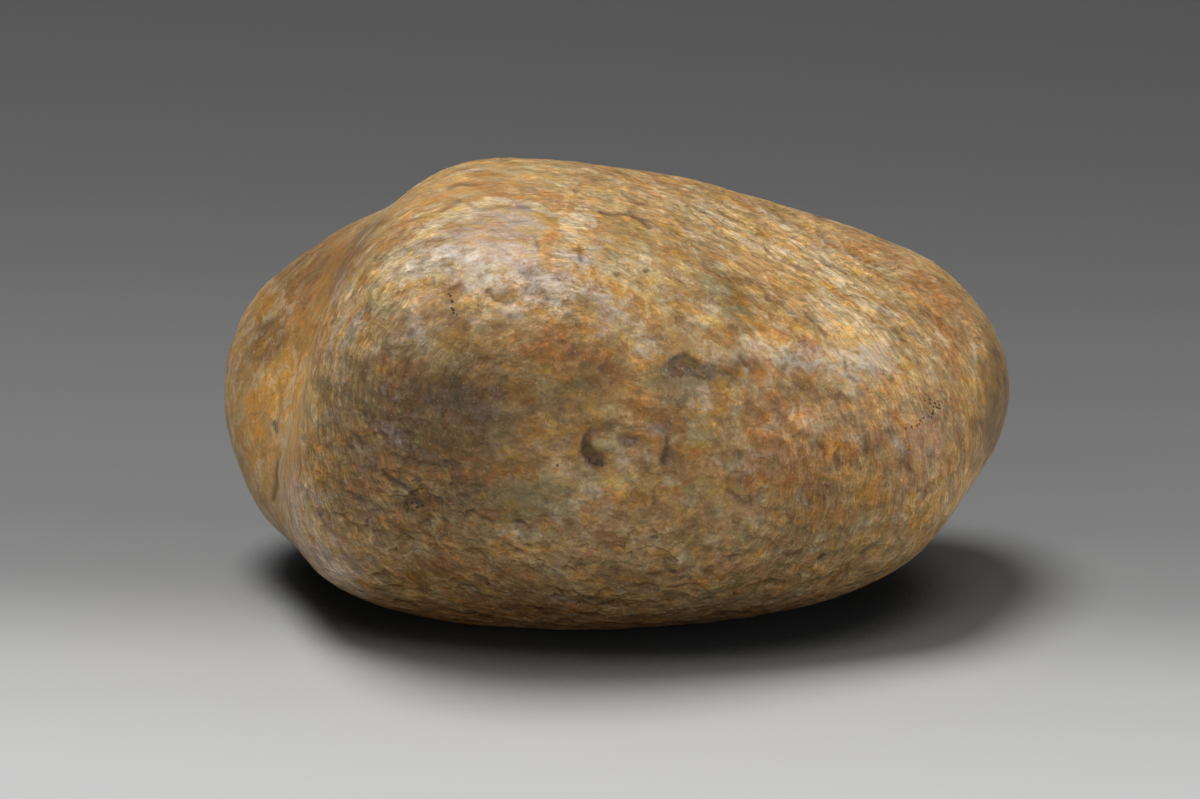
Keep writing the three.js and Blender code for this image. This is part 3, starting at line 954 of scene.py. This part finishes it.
class Facets:
    """Worn hollows like overlapping scales, of about one size in mm: each is a shallow bowl of its own
    depth that leans back towards its upper rim, where an undercut line parts it from the next one.
    Gives a height in mm, a rim, a tone and a hue."""

    def __init__(self, nodes, place, size, shift):
        stretched = nodes.vector("MULTIPLY", place, FACET_STRETCH)
        spot = nodes.moved(stretched, nodes.wander(place, size / FACET_WANDER), FACET_WANDER * size)
        spot = nodes.vector("ADD", spot, (shift, -shift, shift * 0.5))
        cell = nodes.cells(spot, size)
        border = nodes.cells(spot, size, feature="DISTANCE_TO_EDGE").outputs["Distance"]
        chance = nodes.add("SeparateColor", cell.outputs["Color"])
        tilt = nodes.vector("SUBTRACT", cell.outputs["Color"], (0.5, 0.5, 0.5))
        tilt = nodes.vector("MULTIPLY", tilt, (FACET_TILT, FACET_TILT, FACET_TILT))
        tilt = nodes.vector("ADD", tilt, tuple(STEEP_SIDE))
        rise = nodes.dot(nodes.vector("SUBTRACT", spot, cell.outputs["Position"]), tilt)
        strength = nodes.step("facet strength", chance.outputs["Red"])
        away = cell.outputs["Distance"]
        bowl = nodes.times(away, away, strength)
        lean = nodes.math("MULTIPLY", rise, -FACET_LEAN)
        self.height = nodes.math("MULTIPLY_ADD", bowl, FACET_DEPTH * size, lean)
        above = nodes.ramp(rise, 0.0, FACET_UNDERCUT * size)
        self.rim = nodes.times(nodes.step("facet edge", border), above, strength)
        self.tone = chance.outputs["Green"]
        self.hue = chance.outputs["Blue"]


def flow_place(nodes, place):
    """Places whose first and last axes run round the stone's Y axis and whose second runs across,
    from the middle of the face over the rim to the middle of the back; and how far out they lie."""
    offset = nodes.vector("SUBTRACT", place, FLOW_CENTRE_MM)
    flat = nodes.vector("MULTIPLY", offset, (1.0, 0.0, 1.0))
    radius = nodes.add("VectorMath", flat, operation="LENGTH").outputs["Value"]
    stretch = nodes.math("DIVIDE", FLOW_RADIUS_MM, nodes.math("MAXIMUM", radius, STILL_RADIUS_MM[0]))
    ring = nodes.add("VectorMath", flat, operation="SCALE")
    nodes.put(ring.inputs["Scale"], stretch)
    depth = nodes.dot(offset, (0.0, 1.0, 0.0))
    across = nodes.math("SUBTRACT", radius, nodes.math("ABSOLUTE", depth))
    twist = nodes.times(depth, FLOW_TWIST)
    twist_back = nodes.times(depth, -FLOW_TWIST)
    cross = nodes.add("CombineXYZ", twist, across, twist_back)
    return nodes.vector("ADD", ring.outputs[0], cross.outputs[0]), nodes.ramp(radius, *STILL_RADIUS_MM)


def stone_ground(nodes, place, bent, bend):
    """The stone's plain colour: an ochre ground, mineral patches over it, marbling, the inclusion, and
    swings between golden and greyer stone."""
    ground = nodes.grain("ground", bent)
    brown, ochre = linear(TONES["brown"]), linear(TONES["ochre"])
    colour = nodes.mix(nodes.step("to ochre", ground), brown, ochre)
    colour = nodes.paint(colour, "tan", nodes.step("to tan", ground))
    for name, (chance, gain, size, shift, cover) in MINERAL_LOOKS.items():
        noise = nodes.noise(bent, size, MINERAL_DETAIL, MINERAL_ROUGHNESS, shift)
        raised = nodes.math("MULTIPLY_ADD", nodes.value_of(name), gain, noise)
        share = nodes.ramp(raised, chance - PATCH_SOFTNESS, chance + PATCH_SOFTNESS, 0.0, cover)
        colour = nodes.paint(colour, name, share)
    marbling = nodes.value_of("marbling")
    swirl = nodes.grain("swirl", nodes.moved(place, bend, SWIRL_BEND_MM))
    colour = nodes.paint(colour, "cream", nodes.times(marbling, nodes.step("pale swirl", swirl)))
    colour = nodes.paint(colour, "honey", nodes.times(marbling, nodes.step("deep swirl", swirl)))
    ragged = nodes.step("ragged", nodes.grain("ragged", bent))
    ragged = nodes.times(nodes.value_of("inclusion"), ragged)
    colour = nodes.paint(colour, "slate", nodes.math("MINIMUM", ragged, MOST_SLATE))
    swing = nodes.math("SUBTRACT", nodes.grain("golden", bent), 0.5)
    golden = nodes.add("CombineColor")
    for socket, reach, level, limits in zip(golden.inputs, GOLD_SWINGS, GOLD_LEVELS, GOLD_LIMITS):
        factor = nodes.math("MAXIMUM", nodes.math("MULTIPLY_ADD", swing, reach, level), limits[0])
        nodes.put(socket, nodes.math("MINIMUM", factor, limits[1]))
    return nodes.mix(1.0, colour, golden.outputs[0], blend="MULTIPLY")


def stone_colour(nodes, place, facets):
    """The stone's whole colour: its ground, then light and dark, partly painted light and shade, strokes,
    veins, specks and painted glints.
    """
    bend = nodes.wander(place, BEND_SIZE_MM)
    bent = nodes.moved(nodes.vector("MULTIPLY", place, GRAIN_STRETCH), bend, GRAIN_BEND_MM)
    flow, outward = flow_place(nodes, place)
    flow = nodes.vector("MULTIPLY", nodes.moved(flow, bend, FLOW_BEND_MM), FLOW_STRETCH)
    colour = stone_ground(nodes, place, bent, bend)

    scoop = nodes.step("scoop light", nodes.value_of("tint"))
    fleck = nodes.step("fleck light", nodes.grain("fleck", bent))
    # The scoops' hollows are painted darker: painted shade.
    light = nodes.times(scoop, fleck, nodes.step("hollow light", nodes.value_of("hollow")))
    for facet in facets:
        light = nodes.times(light, nodes.step("facet light", facet.tone))
        colour = nodes.paint(colour, "rust", nodes.step("facet rust", facet.hue))
        colour = nodes.paint(colour, "olive", nodes.step("facet olive", facet.hue))
    streaky = nodes.step("streaky outwards", outward)
    streaky = nodes.times(streaky, nodes.step("streaky in marbling", nodes.value_of("marbling")))
    for size, shift, depth in STROKES:
        stroke = nodes.noise(flow, size, STROKE_DETAIL, STROKE_ROUGHNESS, shift)
        stroke = nodes.ramp(stroke, *STROKE_LEVELS, -depth, depth)
        light = nodes.times(light, nodes.math("ADD", nodes.times(stroke, streaky), 1.0))
        broader = STROKE_HUE_SIZE * size
        hue = nodes.noise(flow, broader, STROKE_DETAIL, STROKE_ROUGHNESS, shift + STROKE_HUE_SHIFT)
        colour = nodes.paint(colour, "rust", nodes.times(nodes.step("warm stroke", hue), streaky))
        colour = nodes.paint(colour, "olive", nodes.times(nodes.step("cool stroke", hue), streaky))
    contrast = nodes.step("contrast", nodes.value_of("rough"))
    light = nodes.math("MULTIPLY_ADD", nodes.math("SUBTRACT", light, 1.0), contrast, 1.0)
    # The shade attribute brings in the painted light and shade, the darker foot among them.
    light = nodes.times(light, nodes.math("ADD", nodes.value_of("shade"), 1.0))
    deeper = nodes.add("CombineColor", *(nodes.math("POWER", light, power) for power in LIGHT_POWERS))
    colour = nodes.mix(1.0, colour, deeper.outputs[0], blend="MULTIPLY")
    # The facets' upper rims are painted dark: painted shade under each scale's steep rim.
    undercut = nodes.step("undercut", nodes.value_of("rough"))
    for facet in facets:
        colour = nodes.paint(colour, "pit", nodes.times(facet.rim, undercut))

    thread = nodes.math("ABSOLUTE", nodes.math("SUBTRACT", nodes.grain("thread", bent), 0.5))
    threaded = nodes.step("threaded", nodes.grain("threaded", place))
    colour = nodes.paint(colour, "umber", nodes.times(nodes.step("thread", thread), threaded))
    pepper = nodes.grain("pepper", place)
    colour = nodes.paint(colour, "pit", nodes.step("dark pepper", pepper))
    colour = nodes.paint(colour, "cream", nodes.step("pale pepper", pepper))
    colour = nodes.paint(colour, "soot", nodes.dots("speck", place, nodes.value_of("soot"), *SPECKS))
    # Pits and cracks are painted dark: painted shade in the pits and crevices.
    colour = nodes.paint(colour, "pit", nodes.step("pit", nodes.value_of("pit")))
    colour = nodes.paint(colour, "pit", nodes.times(nodes.value_of("crack"), CRACK_COVER))
    # The frost places are painted pale, partly pale fractures and partly painted sheen, with painted
    # highlight glints over them.
    frost_and_sheen = nodes.value_of("frost_and_sheen")
    veil = nodes.times(frost_and_sheen, nodes.step("veil", nodes.grain("cloud", place)))
    colour = nodes.paint(colour, "frost_and_sheen", veil)
    return nodes.paint(colour, "frost_and_sheen", nodes.dots("glint", place, frost_and_sheen, *PAINTED_GLINTS))


def stone_relief(nodes, place, facets):
    """The grain that is finer than the mesh, as a bump whose height is in millimetres."""
    lumps = nodes.times(nodes.grain("lumps", place), LUMP_HEIGHT_MM)
    height = nodes.math("MULTIPLY_ADD", nodes.grain("grit", place), GRIT_HEIGHT_MM, lumps)
    for facet in facets:
        height = nodes.math("ADD", height, facet.height)
    bump = nodes.add("Bump")
    bump.inputs["Strength"].default_value = 1.0
    bump.inputs["Distance"].default_value = MM
    nodes.put(bump.inputs["Height"], nodes.times(height, nodes.value_of("rough")))
    return bump.outputs["Normal"]


def new_material(name):
    """A material of that name, a way to add nodes to it, and its surface's sockets."""
    material = bpy.data.materials.new(name)
    material.use_nodes = True
    return material, Nodes(material.node_tree), material.node_tree.nodes["Principled BSDF"].inputs


def stone_material():
    """Waxy silicified stone: warm mottled colour, soft gloss that the pecking breaks into sparkles."""
    material, nodes, surface = new_material("worn_stone")
    place = nodes.vector("MULTIPLY", nodes.add("TexCoord").outputs["Object"], (1 / MM, 1 / MM, 1 / MM))
    facets = [Facets(nodes, place, size, shift) for size, shift in FACETS]
    nodes.put(surface["Base Color"], stone_colour(nodes, place, facets))
    nodes.put(surface["Roughness"], nodes.step("polish", nodes.grain("polish", place)))
    nodes.put(surface["Normal"], stone_relief(nodes, place, facets))
    wax = nodes.math("MULTIPLY_ADD", nodes.value_of("frost_and_sheen"), FROST_WAX, WAX_SHARE)
    nodes.put(surface["Coat Weight"], wax)
    surface["Specular IOR Level"].default_value = SPECULAR_LEVEL
    surface["Coat Roughness"].default_value = WAX_ROUGHNESS
    surface["Subsurface Weight"].default_value = GLOW_THROUGH
    surface["Subsurface Radius"].default_value = GLOW_THROUGH_COLOURS
    surface["Subsurface Scale"].default_value = GLOW_THROUGH_MM * MM
    return material


# The floor, lamps and camera

# The floor, and its tones: how far behind the middle of the stone in metres, and the tone there

FLOOR_HALF_WIDTH = 3.0
FLOOR_TONES = (
    (-0.080, 0.62),
    (-0.045, 0.55),
    (-0.024, 0.47),
    (-0.002, 0.31),
    (0.023, 0.24),
    (0.050, 0.21),
    (0.092, 0.185),
    (0.154, 0.152),
    (0.231, 0.124),
    (0.330, 0.107),
    (0.445, 0.097),
)
FLOOR_TONE_SKEW = 0.07
FLOOR_BOUNCE_TONE = 0.05
FLOOR_ROUGHNESS = 0.9
FLOOR_SPECULAR_LEVEL = 0.0

# Painted contact shadow, darker where the stone hangs close over the floor: reach in metres, open share,
# tone

CONTACT_REACH = 0.06
CONTACT_OPENNESS = (0.30, 0.62)
CONTACT_TONE = 0.10

# The lamp, and the sky with its glows

LAMP_AZIMUTH = math.radians(-117)
LAMP_ELEVATION = math.radians(75.7)
LAMP_DISTANCE = 2.0
LAMP_SIZE = 0.90
LAMP_POWER = 33
SKY_LIGHT = 0.10
GLOWS = (
    dict(strength=5.0, falloff=15, azimuth=math.radians(79), elevation=math.radians(3)),
    dict(strength=4.6, falloff=18, azimuth=math.radians(-28), elevation=math.radians(3)),
)
GLOW_GLOSS = 0.75
HORIZON_TONE = 0x585858
NEAREST_SEEN = 0.01


def direction(azimuth, elevation):
    """The unit vector from the stone towards that azimuth, 0 at the lens and 90 at the right."""
    flat = math.cos(elevation)
    return Vector((math.sin(azimuth) * flat, -math.cos(azimuth) * flat, math.sin(elevation)))


def show(name, data):
    """An object of that name in the scene."""
    item = bpy.data.objects.new(name, data)
    bpy.context.scene.collection.objects.link(item)
    return item


def floor_material():
    """Matt paper, pale near the lens and greyer towards the back, as the photograph's sweep is."""
    material, nodes, surface = new_material("floor_paper")
    axes = nodes.add("SeparateXYZ", nodes.add("TexCoord").outputs["Object"])
    # The tones fall off towards the back and skew sideways: painted shade, a light falloff painted into
    # the paper.
    near, far = FLOOR_TONES[0][0], FLOOR_TONES[-1][0]
    depth = nodes.math("MULTIPLY_ADD", axes.outputs["X"], FLOOR_TONE_SKEW, axes.outputs["Y"])
    tones = nodes.add("ValToRGB", nodes.math("DIVIDE", nodes.math("SUBTRACT", depth, near), far - near))
    tones.color_ramp.interpolation = "CARDINAL"
    stops = tones.color_ramp.elements
    while len(stops) < len(FLOOR_TONES):
        stops.new(0.5)
    for stop, (depth, tone) in zip(stops, FLOOR_TONES):
        stop.position = (depth - near) / (far - near)
        stop.color = (tone, tone, tone, 1)
    # A painted contact shadow: the paper is painted darker where the stone hangs close over it.
    open_sky = nodes.add("AmbientOcclusion")
    open_sky.inputs["Distance"].default_value = CONTACT_REACH
    painted_contact_shadow = nodes.ramp(open_sky.outputs["AO"], *CONTACT_OPENNESS, CONTACT_TONE, 1.0)
    paper = nodes.mix(1.0, tones.outputs["Color"], painted_contact_shadow, blend="MULTIPLY")
    rays = nodes.add("LightPath")
    seen = nodes.math("MAXIMUM", rays.outputs["Is Camera Ray"], rays.outputs["Is Glossy Ray"])
    bounce = (FLOOR_BOUNCE_TONE, FLOOR_BOUNCE_TONE, FLOOR_BOUNCE_TONE, 1)
    nodes.put(surface["Base Color"], nodes.mix(seen, bounce, paper))
    surface["Roughness"].default_value = FLOOR_ROUGHNESS
    surface["Specular IOR Level"].default_value = FLOOR_SPECULAR_LEVEL
    return material


def floor():
    half = FLOOR_HALF_WIDTH
    corners = [(-half, -half, 0), (half, -half, 0), (half, half, 0), (-half, half, 0)]
    mesh = bpy.data.meshes.new("floor")
    mesh.from_pydata(corners, [], [(0, 1, 2, 3)])
    mesh.materials.append(floor_material())
    ground = show("floor", mesh)


def sky():
    """Faint light from all round, and two broad glows: at the right, and in front to the left."""
    world = bpy.data.worlds.new("studio")
    world.use_nodes = True
    bpy.context.scene.world = world
    nodes = Nodes(world.node_tree)
    background = world.node_tree.nodes["Background"]
    towards = nodes.add("TexCoord").outputs["Generated"]
    rays = nodes.add("LightPath")
    shown = nodes.ramp(rays.outputs["Is Glossy Ray"], 0.0, 1.0, 1.0, GLOW_GLOSS)
    light = SKY_LIGHT
    for glow in GLOWS:
        facing = nodes.dot(towards, direction(glow["azimuth"], glow["elevation"]))
        share = nodes.math("POWER", nodes.math("MAXIMUM", facing, 0.0), glow["falloff"])
        share = nodes.times(share, shown)
        light = nodes.math("MULTIPLY_ADD", share, glow["strength"], light)
    seen = rays.outputs["Is Camera Ray"]
    nodes.put(background.inputs["Color"], nodes.mix(seen, light, linear(HORIZON_TONE)))


def lamp():
    """The broad lamp above the stone, a little to the left and behind."""
    light = bpy.data.lights.new("overhead", "AREA")
    light.shape = "DISK"
    light.size = LAMP_SIZE
    light.energy = LAMP_POWER
    holder = show("overhead", light)
    way = direction(LAMP_AZIMUTH, LAMP_ELEVATION)
    holder.location = AIM_POINT + LAMP_DISTANCE * way
    holder.rotation_euler = way.to_track_quat("Z", "Y").to_euler()


def camera():
    lens = bpy.data.cameras.new("camera")
    lens.lens = LENS_MM
    lens.sensor_width = SENSOR_MM
    lens.clip_start = NEAREST_SEEN
    holder = show("camera", lens)
    holder.location = CAMERA_PLACE
    holder.rotation_euler = (-FORWARD).to_track_quat("Z", "Y").to_euler()
    bpy.context.scene.camera = holder


stone = show("stone", stone_skin(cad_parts[NODE]))
stone.data.materials.append(stone_material())
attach(stone, "root")
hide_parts(NODE)

floor()
sky()
lamp()
camera()
bpy.context.scene.view_settings.view_transform = "Standard"
